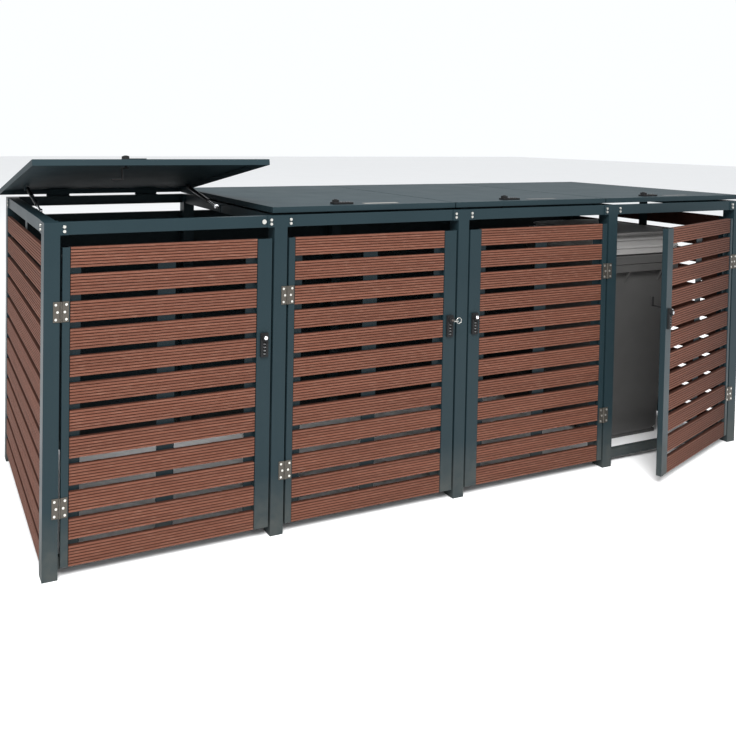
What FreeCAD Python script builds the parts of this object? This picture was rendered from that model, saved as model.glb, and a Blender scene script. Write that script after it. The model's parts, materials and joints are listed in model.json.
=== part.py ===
"""Four-bay bin station: steel frame, slatted doors, hinged lids on gas struts, one bin.

Millimetres, +Z up. The origin is on the ground at the centre of the frame's footprint.
The doors are on the -Y side. Bays, doors and lids are numbered from the -X end.
"""
import FreeCAD, Part
import os
import re
import Sketcher

# name, value, what it is
DIMENSIONS = [
    ("bay_pitch", 790, "centre to centre of neighbouring posts"),
    ("frame_depth", 960, "front face to rear face of the posts"),
    ("frame_height", 1122, "ground to the top of the posts"),
    ("post_width", 50, "square post"),
    ("post_wall", 2, "wall of the post tube"),
    ("sole_thickness", 3, "plate that closes a post at the ground"),
    ("head_gauge", 3, "plate of the post heads"),
    ("head_wing", 26, "head plate past the post"),
    ("rail_height", 40, "all upper rails and post heads"),
    ("flange_depth", 20, "top flange of the front and rear rails"),
    ("cross_half", 20, "half the width of a cross rail"),
    ("sheet_gauge", 2, "folded sheet"),
    ("bottom_rail_height", 38, "lower rails"),
    ("bottom_rail_lift", 18, "ground to the lower rails"),
    ("bottom_rail_setback", 30, "front plane to the lower front rail"),
    ("bottom_rail_depth", 20, "lower rails"),
    ("panel_bottom", 36, "ground to the doors and side slats"),
    ("panel_lap", 6, "rear panel below the top of the lower rear rail"),
    ("panel_slit", 14, "last bay's rear panel above the top of its lower rear rail"),
    ("slat_count", 12, "slats in a door or side"),
    ("slat_pitch", 85.8, "slat to slat"),
    ("slat_gap", 22, "air between two slats"),
    ("slat_thickness", 14, "slat"),
    ("slat_recess", 2, "slat face behind the frame face"),
    ("groove_steps", 9, "groove pitches in one slat pitch"),
    ("groove_width", 3.2, "groove in a slat"),
    ("groove_depth", 2.2, "groove in a slat"),
    ("door_gap", 8, "air between a door and a post"),
    ("door_thickness", 20, "folded stiles"),
    ("hinge_stile", 24, "face of the stile at the hinges"),
    ("lock_stile", 54, "face of the stile at the lock"),
    ("stile_flange", 40, "flange behind the slat ends"),
    ("slat_end_gap", 2, "air between a slat's end and a stile"),
    ("strap_width", 62, "strap behind the middle of a door's slats"),
    ("side_strap_width", 46, "strap behind the middle of a side's slats"),
    ("door_4_ajar", 16, "degrees that door 4 stands open"),
    ("hinge_low", 228, "ground to the lower hinge's centre"),
    ("hinge_high", 844, "ground to the upper hinge's centre"),
    ("leaf_width", 20.5, "hinge leaf"),
    ("leaf_height", 64, "hinge leaf"),
    ("leaf_gauge", 2, "hinge leaf"),
    ("leaf_gap", 0.2, "edge of the door or post to the hinge leaf"),
    ("knuckle_radius", 3.5, "door hinge barrel"),
    ("pin_radius", 2, "door hinge pin"),
    ("pin_play", 0.08, "radial play of pins and spindles"),
    ("screw_radius", 4, "hinge screw head"),
    ("screw_head", 1.6, "hinge screw head"),
    ("lid_lift", 8, "air between the rails and a closed lid's lip"),
    ("lid_lip", 20, "folded edge of a lid"),
    ("lid_setback", 15, "front plane to a lid's front edge"),
    ("lid_gap", 6, "air between neighbouring lids"),
    ("lid_shift", 29, "post centre to the joint of two lids, towards -X"),
    ("lid_overhang", 33, "first lid past the first post, towards -X"),
    ("lid_1_ajar", 10.2, "degrees that lid 1 stands open"),
    ("lid_hinge_setback", 5, "rear plane to the lid hinge axis"),
    ("lid_hinge_rise", 6, "post top to the lid hinge axis"),
    ("lid_knuckle_radius", 4.6, "lid hinge barrel"),
    ("lid_pin_radius", 2.5, "lid hinge pin"),
    ("lid_hinge_length", 100, "lid hinge barrel"),
    ("lid_hinge_spread", 200, "bay centre to a lid hinge's centre"),
    ("lock_length", 82, "lock housing"),
    ("lock_width", 28, "lock housing"),
    ("lock_height", 7, "lock housing"),
    ("lock_head", 14, "housing end to the knob's axis"),
    ("knob_radius", 12, "lock knob"),
    ("knob_height", 9, "lock knob"),
    ("knob_gap", 0.3, "air between knob and housing"),
    ("spindle_radius", 4, "lock spindle"),
    ("spindle_length", 22, "face to the cam plate"),
    ("cam_gauge", 3, "lock cam"),
    ("cam_width", 16, "lock cam"),
    ("cam_arm", 15, "spindle axis to the cam's leg"),
    ("cam_drop", 40, "cam plate to the foot's far face"),
    ("cam_reach", 50, "spindle axis to the cam's tip"),
    ("dial_count", 4, "number wheels of a lock"),
    ("dial_radius", 4.4, "number wheel"),
    ("dial_width", 9, "number wheel"),
    ("dial_pitch", 11.5, "number wheels"),
    ("dial_first", 23, "knob axis to the first number wheel"),
    ("dial_axis_height", 4.6, "face to the number wheels' axis"),
    ("dial_shaft_radius", 1.5, "number wheels' shaft"),
    ("dial_window", 5, "half the housing's window"),
    ("door_lock_height", 705, "ground to a door knob's axis"),
    ("lid_lock_offset", 142, "bay centre to a lid knob's axis"),
    ("lid_lock_setback", 45, "lid edge to the knob's axis"),
    ("strut_offset_left", 35, "post centre to a bay's left strut"),
    ("strut_offset_right", 65, "post centre to a bay's right strut"),
    ("strut_clear", 12, "strut's centre to its frame bracket"),
    ("strut_radius", 8, "strut cylinder"),
    ("strut_length", 245, "upper pivot to the cylinder's mouth"),
    ("strut_low_setback", 530, "rear plane to the strut's lower pivot"),
    ("strut_low_drop", 8, "post top down to the lower pivot"),
    ("strut_arm", 205, "lid hinge axis to the upper pivot"),
    ("strut_arm_rise", 6, "lid hinge axis up to the upper pivot"),
    ("rod_radius", 4, "strut rod"),
    ("rod_length", 275, "lower pivot to the rod's inner end"),
    ("eye_width", 10, "strut end fitting"),
    ("stud_radius", 3, "pivot studs of the struts"),
    ("bracket_gauge", 3, "strut brackets"),
    ("bolt_radius", 5, "bolt head"),
    ("bolt_head", 3, "bolt head"),
    ("bolt_upper", 14, "post top to the upper bolt"),
    ("bolt_lower", 28, "post top to the lower bolt"),
    ("disc_radius", 8, "blanking disc on the first front rail"),
    ("bin_offset", 0, "bay centre to bin centre"),
    ("bin_front", 150, "front plane to the bin's rim"),
    ("bin_rim_width", 480, "bin"),
    ("bin_rim_depth", 490, "bin"),
    ("bin_rim_height", 870, "ground to the top of the bin's rim"),
    ("bin_rim_band", 50, "bin rim's turned-down edge"),
    ("bin_base_width", 380, "bin"),
    ("bin_base_depth", 400, "bin"),
    ("bin_base_height", 12, "ground to the bin's floor"),
    ("bin_wall", 4, "bin"),
    ("bin_rim_lip", 10, "bin rim past the tub's walls"),
    ("bin_foot_inset", 20, "side of the bin's base to its foot"),
    ("bin_foot_setback", 60, "front of the bin's rim to its foot"),
    ("bin_foot_depth", 40, "foot across the bin's base"),
    ("bin_lid_height", 110, "bin lid"),
    ("cover_gap", 0.3, "bin rim to bin lid"),
    ("cover_side", 8, "bin lid past the tub's walls at the sides"),
    ("cover_end", 6, "bin lid past the tub's walls at front and back"),
    ("cover_draft", 20, "top of the bin lid inside the tub's walls"),
    ("cover_wall", 5, "bin lid"),
    ("cover_arm_spread", 120, "bin centre to a hinge arm of its lid"),
    ("cover_arm_width", 24, "hinge arm of the bin lid"),
    ("cover_arm_height", 12, "hinge arm of the bin lid"),
    ("wheel_radius", 100, "bin wheel"),
    ("wheel_width", 44, "bin wheel"),
    ("wheel_track", 227, "bin centre to a wheel's centre"),
    ("wheel_back", 515, "bin rim front to the axle"),
    ("axle_radius", 10, "bin axle"),
    ("axle_end", 4, "bin axle past the wheels"),
    ("axle_lug_spread", 150, "bin centre to an axle lug"),
    ("axle_lug_width", 30, "axle lug"),
    ("axle_lug_setback", 3, "back of the bin's base to the axle lugs"),
    ("axle_lug_reach", 25, "axle to the edge of an axle lug"),
    ("grip_radius", 12, "bin handle bar"),
    ("grip_length", 360, "bin handle bar"),
    ("grip_setback", 32, "back wall of the tub to the handle bar"),
    ("grip_rise", 14, "bin rim's top to the handle bar"),
    ("grip_lug_width", 16, "end lug of the handle bar"),
    ("grip_lug_reach", 18, "handle bar's axis to the edge of its lug"),
]

BAYS = 4
POSTS = BAYS + 1
FRONT = "(-frame_depth / 2)"
REAR = "(frame_depth / 2)"
PANEL_HEIGHT = "(slat_count * slat_pitch - slat_gap)"
DOOR_WIDTH = "(bay_pitch - post_width - 2 * door_gap)"
LID_AXIS_Y = "(frame_depth / 2 - lid_hinge_setback)"
LID_AXIS_Z = "(frame_height + lid_hinge_rise)"
LID_TOP = "(lid_lift + lid_lip - lid_hinge_rise)"
SIDE_LENGTH = "(frame_depth - 2 * post_width)"

doc = FreeCAD.newDocument("bin_station")
sheet = doc.addObject("Spreadsheet::Sheet", "dims")
for row, (alias, value, meaning) in enumerate(DIMENSIONS, start=1):
    sheet.set(f"A{row}", alias)
    sheet.set(f"B{row}", str(value))
    sheet.set(f"C{row}", meaning)
    sheet.setAlias(f"B{row}", alias)
doc.recompute()

ALIASES = {alias for alias, value, meaning in DIMENSIONS}
NODES = []


def formula(text):
    """A spreadsheet expression from a formula in the dimensions' names."""
    return re.sub(r"[a-z][a-z_0-9]*", lambda m: prefixed(m.group()), str(text))


def prefixed(word):
    return "dims." + word if word in ALIASES else word


def number(text):
    """The formula's value now, to draw a sketch near its final shape."""
    return float(sheet.evalExpression(formula(text)))


def bind(thing, **formulas):
    for name, text in formulas.items():
        thing.setExpression(name, formula(text))


def place(thing, x=0, y=0, z=0):
    for letter, text in zip("xyz", (x, y, z)):
        thing.setExpression(f"Placement.Base.{letter}", formula(text))


def turn(thing, axis, angle):
    thing.Placement.Rotation = FreeCAD.Rotation(FreeCAD.Vector(*axis), 10)
    thing.setExpression("Placement.Rotation.Angle", formula(angle))


def box(label, corner, size):
    thing = doc.addObject("Part::Box", label)
    bind(thing, Length=size[0], Width=size[1], Height=size[2])
    place(thing, *corner)
    return thing


def rod(label, axis, start, radius, length):
    """A cylinder along +X, +Y or +Z from its start point."""
    thing = doc.addObject("Part::Cylinder", label)
    bind(thing, Radius=radius, Height=length)
    place(thing, *start)
    turns = {"X": ((0, 1, 0), 90), "Y": ((1, 0, 0), -90), "Z": ((0, 0, 1), 0)}
    direction, angle = turns[axis]
    thing.Placement.Rotation = FreeCAD.Rotation(FreeCAD.Vector(*direction), angle)
    return thing


def fuse(label, things):
    thing = doc.addObject("Part::MultiFuse", label)
    thing.Shapes = things
    return thing


def cut(label, base, tool):
    thing = doc.addObject("Part::Cut", label)
    thing.Base = base
    thing.Tool = tool
    return thing


def group(label, things):
    thing = doc.addObject("Part::Compound", label)
    thing.Links = things
    return thing


def node(label, things):
    """A sub-part: one solid, or several that belong together."""
    thing = group(label, things)
    NODES.append(thing)
    return thing


def post_x(post):
    """Centre of a post; posts are numbered from 0 at -X."""
    return f"({post - BAYS / 2} * bay_pitch)"


def bay_x(bay):
    """Centre of a bay; bays are numbered from 0 at -X."""
    return f"({bay - (BAYS - 1) / 2} * bay_pitch)"


def channel(label, corner, size, openings):
    """A folded channel: a box with the box inside it cut away, out through the open sides."""
    low = ["sheet_gauge"] * 3
    high = ["sheet_gauge"] * 3
    for side in openings:
        (low if side[0] == "-" else high)["XYZ".index(side[1])] = "(-1)"
    inner = [f"{c} + {a}" for c, a in zip(corner, low)]
    room = [f"{s} - {a} - {b}" for s, a, b in zip(size, low, high)]
    return cut(label, box(label + "_sheet", corner, size), box(label + "_fold", inner, room))


# Slat boards ---------------------------------------------------------------------------


def origin_plane(body, role):
    return next(p for p in body.Origin.OriginFeatures if p.Role == role)


def rectangle(body, label, low, high):
    """A sketch on the body's YZ plane: one rectangle with its corners bound to formulas."""
    sketch = body.newObject("Sketcher::SketchObject", label)
    sketch.AttachmentSupport = [(origin_plane(body, "YZ_Plane"), "")]
    sketch.MapMode = "FlatFace"
    near, far = [[number(t) for t in corner] for corner in (low, high)]
    corners = [(near[0], near[1]), (far[0], near[1]), (far[0], far[1]), (near[0], far[1])]
    for start, end in zip(corners, corners[1:] + corners[:1]):
        sketch.addGeometry(Part.LineSegment(FreeCAD.Vector(*start), FreeCAD.Vector(*end)))
    for line in range(4):
        sketch.addConstraint(Sketcher.Constraint("Coincident", line, 2, (line + 1) % 4, 1))
    for line in (0, 2):
        sketch.addConstraint(Sketcher.Constraint("Horizontal", line))
        sketch.addConstraint(Sketcher.Constraint("Vertical", line + 1))
    for line, values, texts in ((0, near, low), (2, far, high)):
        for kind, value, text in zip(("DistanceX", "DistanceY"), values, texts):
            index = sketch.addConstraint(Sketcher.Constraint(kind, -1, 1, line, 1, value))
            sketch.setExpression(f"Constraints[{index}]", formula(text))
    return sketch


def pattern(body, label, pocket, pitch, count):
    row = body.newObject("PartDesign::LinearPattern", label)
    row.Originals = [pocket]
    row.Direction = (pocket.Profile[0], ["V_Axis"])
    bind(row, Length=f"{pitch} * ({count} - 1)", Occurrences=count)
    body.Tip = row
    return row


def slats(label, length):
    """Grooved slats along +X, grooves towards -Y, cut from one board: first the grooves,
    then the gaps, whose pitch is a whole number of groove pitches."""
    body = doc.addObject("PartDesign::Body", label)
    body.AllowCompound = True
    board = rectangle(body, label + "_board", ("1", "1"), ("1 + slat_thickness", f"1 + {PANEL_HEIGHT}"))
    pad = body.newObject("PartDesign::Pad", label + "_pad")
    pad.Profile = board
    bind(pad, Length=length)
    groove_pitch = "(slat_pitch / groove_steps)"
    groove_low = f"1 + slat_pitch - slat_gap / 2 - groove_width / 2 - (groove_steps - 1) * {groove_pitch}"
    cuts = [
        ("grooves", ("0.5", groove_low), ("1 + groove_depth", groove_low + " + groove_width"),
         groove_pitch, "slat_count * groove_steps - 1"),
        ("gaps", ("0.5", "1 + slat_pitch - slat_gap"), ("2 + slat_thickness", "1 + slat_pitch"),
         "slat_pitch", "slat_count - 1"),
    ]
    for name, low, high, pitch, count in cuts:
        pocket = body.newObject("PartDesign::Pocket", f"{label}_{name}")
        pocket.Profile = rectangle(body, f"{label}_{name}_outline", low, high)
        pocket.Type = "ThroughAll"
        pocket.Midplane = True
        pattern(body, f"{label}_{name}_row", pocket, pitch, count)
    return body


# Frame ---------------------------------------------------------------------------------


def post(row, index):
    """A square tube with a sole, and head plates that lap over the ends of the rails."""
    label = f"{row}_post_{index + 1}"
    outward = -1 if row == "front" else 1
    x = f"{post_x(index)} - post_width / 2"
    y = FRONT if outward < 0 else f"{REAR} - post_width"
    tube = box(label + "_outside", (x, y, 0), ("post_width", "post_width", "frame_height"))
    bore = box(
        label + "_inside",
        (f"{x} + post_wall", f"{y} + post_wall", "sole_thickness"),
        ("post_width - 2 * post_wall", "post_width - 2 * post_wall",
         "frame_height - sole_thickness - head_gauge"),
    )
    pieces = [cut(label + "_tube", tube, bore)]
    base = "frame_height - rail_height"
    face_y = FRONT if outward < 0 else f"{REAR} - head_gauge"
    for side in (-1, 1):
        end = 0 if side < 0 else POSTS - 1
        wing_x = f"{post_x(index)} + {side} * (post_width + head_wing) / 2 - head_wing / 2"
        if index != end:
            pieces.append(box(f"{label}_wing_{side + 1}", (wing_x, face_y, base),
                              ("head_wing", "head_gauge", "rail_height")))
        else:
            side_x = f"{post_x(index)} + {side} * (post_width - head_gauge) / 2 - head_gauge / 2"
            wing_y = f"{outward} * ({REAR} - post_width - head_wing / 2) - head_wing / 2"
            pieces.append(box(f"{label}_side_wing", (side_x, wing_y, base),
                              ("head_gauge", "head_wing", "rail_height")))
    return pieces


def build_frame():
    for row in ("front", "rear"):
        node(f"{row}_posts", [piece for index in range(POSTS) for piece in post(row, index)])
    top = "frame_height - rail_height"
    span = "bay_pitch - post_width"
    rails = {"front": [], "rear": []}
    for bay in range(BAYS):
        start = f"{post_x(bay)} + post_width / 2"
        rails["front"].append(channel(
            f"front_rail_{bay + 1}", (start, f"{FRONT} + head_gauge", top),
            (span, "flange_depth", "rail_height"), ("-X", "+X", "+Y")))
        rails["rear"].append(channel(
            f"rear_rail_{bay + 1}", (start, f"{REAR} - head_gauge - flange_depth", top),
            (span, "flange_depth", "rail_height"), ("-X", "+X", "-Y")))
    node("front_rails", rails["front"])
    node("rear_rails", rails["rear"])

    cross = []
    for index in range(POSTS):
        left = "(post_width / 2 - head_gauge)" if index == 0 else "cross_half"
        right = "(post_width / 2 - head_gauge)" if index == POSTS - 1 else "cross_half"
        cross.append(channel(
            f"cross_rail_{index + 1}", (f"{post_x(index)} - {left}", f"{FRONT} + post_width", top),
            (f"{left} + {right}", SIDE_LENGTH, "rail_height"), ("-Y", "+Y", "-Z")))
    node("cross_rails", cross)

    lower = []
    rear_y = f"{REAR} - bottom_rail_setback - bottom_rail_depth"
    for bay in range(BAYS):
        start = f"{post_x(bay)} + post_width / 2"
        rear_lift = "bottom_rail_lift" if bay < BAYS - 1 else "bottom_rail_lift - panel_slit"
        for row, y, lift in (("front", f"{FRONT} + bottom_rail_setback", "bottom_rail_lift"),
                             ("rear", rear_y, rear_lift)):
            lower.append(channel(
                f"{row}_bottom_rail_{bay + 1}", (start, y, lift),
                (span, "bottom_rail_depth", "bottom_rail_height"), ("-X", "+X", "-Z")))
    for side, name in ((-1, "left"), (1, "right")):
        setback = "slat_recess - slat_thickness - sheet_gauge"
        inner_face = f"{side} * ({POSTS // 2} * bay_pitch + post_width / 2 - {setback})"
        x = inner_face if side < 0 else f"{inner_face} - bottom_rail_depth"
        lower.append(channel(
            f"{name}_bottom_rail", (x, f"{FRONT} + post_width", "bottom_rail_lift"),
            ("bottom_rail_depth", SIDE_LENGTH, "bottom_rail_height"), ("-Y", "+Y", "-Z")))
    node("bottom_rails", lower)

    panels = []
    for bay in range(BAYS):
        lap = "0" if bay == BAYS - 1 else "panel_lap"
        panel_start = f"(bottom_rail_lift + bottom_rail_height - {lap})"
        start = f"{post_x(bay)} + post_width / 2"
        panels.append(channel(
            f"rear_panel_{bay + 1}", (start, f"{REAR} - slat_recess - door_thickness", panel_start),
            (span, "door_thickness", f"panel_bottom + {PANEL_HEIGHT} - {panel_start}"), ("-Y",)))
    node("rear_panels", panels)

    straps = []
    for side, name in ((-1, "left"), (1, "right")):
        board = slats(f"{name}_side_slat", SIDE_LENGTH)
        sheet_face = f"{2 * side} * bay_pitch + {side} * (post_width / 2 - slat_recess)"
        board.Placement.Rotation = FreeCAD.Rotation(FreeCAD.Vector(0, 0, 1), 90 * side)
        place(board, f"{sheet_face} + {side}", f"{side} * ({FRONT} + post_width)", "panel_bottom - 1")
        node(f"{name}_side_slats", [board])
        back = f"{2 * side} * bay_pitch + {side} * (post_width / 2 - slat_recess - slat_thickness)"
        low_x = back if side < 0 else f"{back} - sheet_gauge"
        middle = "(side_strap_width / 2)"
        ends = ((f"{FRONT} + post_width", "stile_flange"), (f"-{middle}", "side_strap_width"),
                (f"{REAR} - post_width - stile_flange", "stile_flange"))
        for index, (y, width) in enumerate(ends):
            tall = f"panel_bottom + {PANEL_HEIGHT} - bottom_rail_lift"
            if index == 1:
                tall = "frame_height - sheet_gauge - bottom_rail_lift"
            straps.append(box(f"{name}_strap_{index + 1}", (low_x, y, "bottom_rail_lift"),
                              ("sheet_gauge", width, tall)))
    node("side_straps", straps)

    bolts = []
    for row, sign in (("front", -1), ("rear", 1)):
        y = f"{FRONT} - bolt_head" if sign < 0 else REAR
        for index in range(POSTS):
            for side in (-1, 1):
                at_end = index == (0 if side < 0 else POSTS - 1)
                for drop in ("bolt_upper", "bolt_lower"):
                    label = f"{row}_bolt_{index + 1}_{side + 1}_{drop[5:]}"
                    z = f"frame_height - {drop}"
                    if at_end:
                        x = f"{post_x(index)} + post_width / 2" if side > 0 else (
                            f"{post_x(index)} - post_width / 2 - bolt_head")
                        along = f"{sign} * ({REAR} - post_width - head_wing / 2)"
                        bolts.append(rod(label, "X", (x, along, z), "bolt_radius", "bolt_head"))
                    else:
                        x = f"{post_x(index)} + {side} * (post_width + head_wing) / 2"
                        bolts.append(rod(label, "Y", (x, y, z), "bolt_radius", "bolt_head"))
    bolts.append(rod(
        "blanking_disc", "Y",
        (f"{post_x(1)} - post_width / 2 - head_wing - 1.6 * disc_radius",
         f"{FRONT} + head_gauge - sheet_gauge", "frame_height - rail_height / 2"),
        "disc_radius", "sheet_gauge"))
    node("frame_bolts", bolts)


# Doors ---------------------------------------------------------------------------------


def barrels(label, own, centre_z, side, radius, pin, hold_pin):
    """Plate, knuckles and screws of one hinge leaf on the plane Y = 0, facing -Y."""
    knuckle = "leaf_height / 5"
    low = f"{centre_z} - leaf_height / 2"
    gap = "(2 * pin_play)"
    reach = "(door_gap / 2 + leaf_gap)"
    plate_x = reach if side > 0 else f"-{reach} - leaf_width"
    things = [box(label + "_plate", (plate_x, "-leaf_gauge", low),
                  ("leaf_width", "leaf_gauge", "leaf_height"))]
    for step in own:
        z = f"{low} + {step} * {knuckle} + {gap}"
        tall = f"{knuckle} - 2 * {gap}"
        things.append(rod(f"{label}_knuckle_{step}", "Z", (0, "-leaf_gauge", z), radius, tall))
        web_x = 0 if side > 0 else f"-{reach}"
        things.append(box(f"{label}_web_{step}", (web_x, "-leaf_gauge", z), (reach, "leaf_gauge", tall)))
    if hold_pin:
        things.append(rod(label + "_pin", "Z", (0, "-leaf_gauge", low), pin, "leaf_height"))
        return fuse(label, things)
    bore = rod(label + "_bore", "Z", (0, "-leaf_gauge", low), f"{pin} + pin_play", "leaf_height")
    return cut(label, fuse(label + "_blank", things), bore)


def screws(label, centre_z, side):
    """Three screw heads on a leaf, the middle one offset as in a butt hinge."""
    things = []
    for row, (out, up) in enumerate(((0.6, 1), (0.35, 0), (0.6, -1))):
        x = f"{side} * (door_gap / 2 + leaf_gap + {out} * leaf_width)"
        z = f"{centre_z} + {up} * 0.36 * leaf_height"
        things.append(rod(f"{label}_{row + 1}", "Y", (x, "-leaf_gauge - screw_head", z),
                          "screw_radius", "screw_head"))
    return things


class Facing:
    """Where a lock sits: u runs from the knob to the number wheels, w out of the face."""

    def __init__(self, kind, x, y, z):
        self.kind = kind
        self.origin = (x, y, z)

    def box(self, label, low, size):
        (u, v, w), (du, dv, dw) = low, size
        x, y, z = self.origin
        if self.kind == "door":
            corner = (f"{x} + {v}", f"{y} - ({w} + {dw})", f"{z} - ({u} + {du})")
            return box(label, corner, (dv, dw, du))
        return box(label, (f"{x} + {u}", f"{y} + {v}", f"{z} + {w}"), (du, dv, dw))

    def rod(self, label, start, radius, length):
        """Along w, outward."""
        u, v, w = start
        x, y, z = self.origin
        if self.kind == "door":
            start = (f"{x} + {v}", f"{y} - ({w} + {length})", f"{z} - ({u})")
            return rod(label, "Y", start, radius, length)
        return rod(label, "Z", (f"{x} + {u}", f"{y} + {v}", f"{z} + {w}"), radius, length)

    def shaft(self, label, start, radius, length):
        """Along u, from the knob towards the number wheels."""
        u, v, w = start
        x, y, z = self.origin
        if self.kind == "door":
            start = (f"{x} + {v}", f"{y} - ({w})", f"{z} - ({u} + {length})")
            return rod(label, "Z", start, radius, length)
        return rod(label, "X", (f"{x} + {u}", f"{y} + {v}", f"{z} + {w}"), radius, length)


DIAL_SPAN = "(dial_first + (dial_count - 1) * dial_pitch + dial_width / 2 + 1)"
WINDOW_START = "(dial_first - dial_width / 2 - 1)"


def lock_housing(label, at):
    body = at.box(label + "_block", ("-lock_head", "-lock_width / 2", 0),
                  ("lock_length", "lock_width", "lock_height"))
    tools = [
        at.rod(label + "_spindle_bore", (0, 0, -1), "spindle_radius + pin_play", "lock_height + 2"),
        at.box(label + "_window", (WINDOW_START, "-dial_window", -1),
               (f"{DIAL_SPAN} - {WINDOW_START}", "2 * dial_window", "lock_height + 2")),
        at.shaft(label + "_shaft_bore", (f"{WINDOW_START} - 2.2", 0, "dial_axis_height"),
                 "dial_shaft_radius + pin_play", f"{DIAL_SPAN} - {WINDOW_START} + 4.4"),
    ]
    return cut(label, body, fuse(label + "_holes", tools))


def lock_knob(label, at):
    """Knob with key barrel, spindle, and a cranked cam that points away from the wheels."""
    leg_w = "(-spindle_length - cam_drop)"
    cam = [
        at.box(label + "_cam_plate", ("-cam_arm", "-cam_width / 2", "-spindle_length - cam_gauge"),
               ("cam_arm + cam_width / 2", "cam_width", "cam_gauge")),
        at.box(label + "_cam_leg", ("-cam_arm", "-cam_width / 2", leg_w),
               ("cam_gauge", "cam_width", "cam_drop - cam_gauge")),
        at.box(label + "_cam_foot", ("-cam_reach", "-cam_width / 2", leg_w),
               ("cam_reach - cam_arm", "cam_width", "cam_gauge")),
    ]
    grip = fuse(label + "_grip", [
        at.rod(label + "_head", (0, 0, "lock_height + knob_gap"), "knob_radius", "knob_height"),
        at.rod(label + "_barrel", (0, 0, "lock_height + knob_gap + knob_height"), "knob_radius / 2", 1),
        at.rod(label + "_spindle", (0, 0, "-spindle_length"), "spindle_radius",
               "spindle_length + lock_height + knob_gap"),
    ])
    return [grip] + cam


def lock_dials(label, at):
    things = [at.shaft(label + "_shaft", (f"{WINDOW_START} - 2", 0, "dial_axis_height"),
                       "dial_shaft_radius", f"{DIAL_SPAN} - {WINDOW_START} + 4")]
    for index in range(round(number("dial_count"))):
        start = f"dial_first + {index} * dial_pitch - dial_width / 2"
        things.append(at.shaft(f"{label}_wheel_{index + 1}", (start, 0, "dial_axis_height"),
                               "dial_radius", "dial_width"))
    return fuse(label, things)


def stile(label, start, face, flange_start, side):
    """A folded stile: face, outer return, web at the slat ends and flange behind them."""
    high = PANEL_HEIGHT
    outer = start if side > 0 else f"{start} + {face} - sheet_gauge"
    web = f"{start} + {face} - sheet_gauge" if side > 0 else start
    flange_y = "slat_recess + slat_thickness"
    return fuse(label, [
        box(label + "_face", (start, 0, 0), (face, "sheet_gauge", high)),
        box(label + "_return", (outer, 0, 0), ("sheet_gauge", "door_thickness", high)),
        box(label + "_web", (web, 0, 0), ("sheet_gauge", f"{flange_y} + sheet_gauge", high)),
        box(label + "_flange", (flange_start, flange_y, 0), ("stile_flange", "sheet_gauge", high)),
    ])


def door(number_from_one):
    """A door in its own frame: hinge axis at X = 0, front face at Y = 0, ground at Z = 0."""
    name = f"door_{number_from_one}"
    side = 1 if number_from_one <= 2 else -1
    edge = "(door_gap / 2)"
    if side > 0:
        hinge_start, lock_start = edge, f"{edge} + {DOOR_WIDTH} - lock_stile"
        slat_start = f"{edge} + hinge_stile + slat_end_gap"
    else:
        hinge_start, lock_start = f"-{edge} - hinge_stile", f"-{edge} - {DOOR_WIDTH}"
        slat_start = f"{lock_start} + lock_stile + slat_end_gap"
    slat_length = f"({DOOR_WIDTH} - hinge_stile - lock_stile - 2 * slat_end_gap)"
    slat_end = f"{slat_start} + {slat_length}"
    near_flange = f"{slat_start} - slat_end_gap - sheet_gauge"
    far_flange = f"{slat_end} + slat_end_gap + sheet_gauge - stile_flange"
    hinge_flange, lock_flange = (near_flange, far_flange) if side > 0 else (far_flange, near_flange)
    hinge = stile(name + "_hinge_stile", hinge_start, "hinge_stile", hinge_flange, side)
    lock = stile(name + "_lock_stile", lock_start, "lock_stile", lock_flange, -side)
    strap = box(name + "_strap", (f"{slat_start} + {slat_length} / 2 - strap_width / 2",
                                  "slat_recess + slat_thickness", "panel_bottom"),
                ("strap_width", "sheet_gauge", PANEL_HEIGHT))
    knob_x = f"({lock_start} + lock_stile / 2)"
    hole = rod(name + "_spindle_hole", "Y", (knob_x, -1, "door_lock_height - panel_bottom"),
               "spindle_radius + 2", "sheet_gauge + 2")
    lock = cut(name + "_lock_stile_drilled", lock, hole)
    place(hinge, 0, 0, "panel_bottom")
    place(lock, 0, 0, "panel_bottom")
    board = slats(name + "_slat", slat_length)
    place(board, slat_start, "slat_recess - 1", "panel_bottom - 1")

    at = Facing("door", knob_x, 0, "door_lock_height")
    fittings = [lock_housing(name + "_lock_housing", at)]
    for level in ("hinge_low", "hinge_high"):
        leaf = f"{name}_{level}_leaf"
        fittings.append(barrels(leaf, (1, 3), level, side, "knuckle_radius", "pin_radius", False))
        fittings += screws(leaf + "_screw", level, side)
    nodes = [
        node(name + "_frame", [hinge, strap, lock]),
        node(name + "_slats", [board]),
        node(name + "_fittings", fittings),
        node(name + "_lock_knob", lock_knob(name + "_knob", at)),
        node(name + "_lock_dials", [lock_dials(name + "_dials", at)]),
    ]
    if number_from_one == 2:
        nodes.append(node("door_2_key", key(at)))
    hinge_post = number_from_one - 1 if side > 0 else number_from_one
    axis_x = f"{post_x(hinge_post)} + {side} * (post_width / 2 + door_gap / 2)"
    for thing in nodes:
        place(thing, axis_x, FRONT, 0)
        if number_from_one == 4:
            ajar = "door_4_ajar * 1 deg"
            place(thing, f"{axis_x} - leaf_gauge * sin({ajar})",
                  f"{FRONT} - leaf_gauge * (1 - cos({ajar}))", 0)
            turn(thing, (0, 0, 1), "door_4_ajar")
    return axis_x, side


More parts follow.
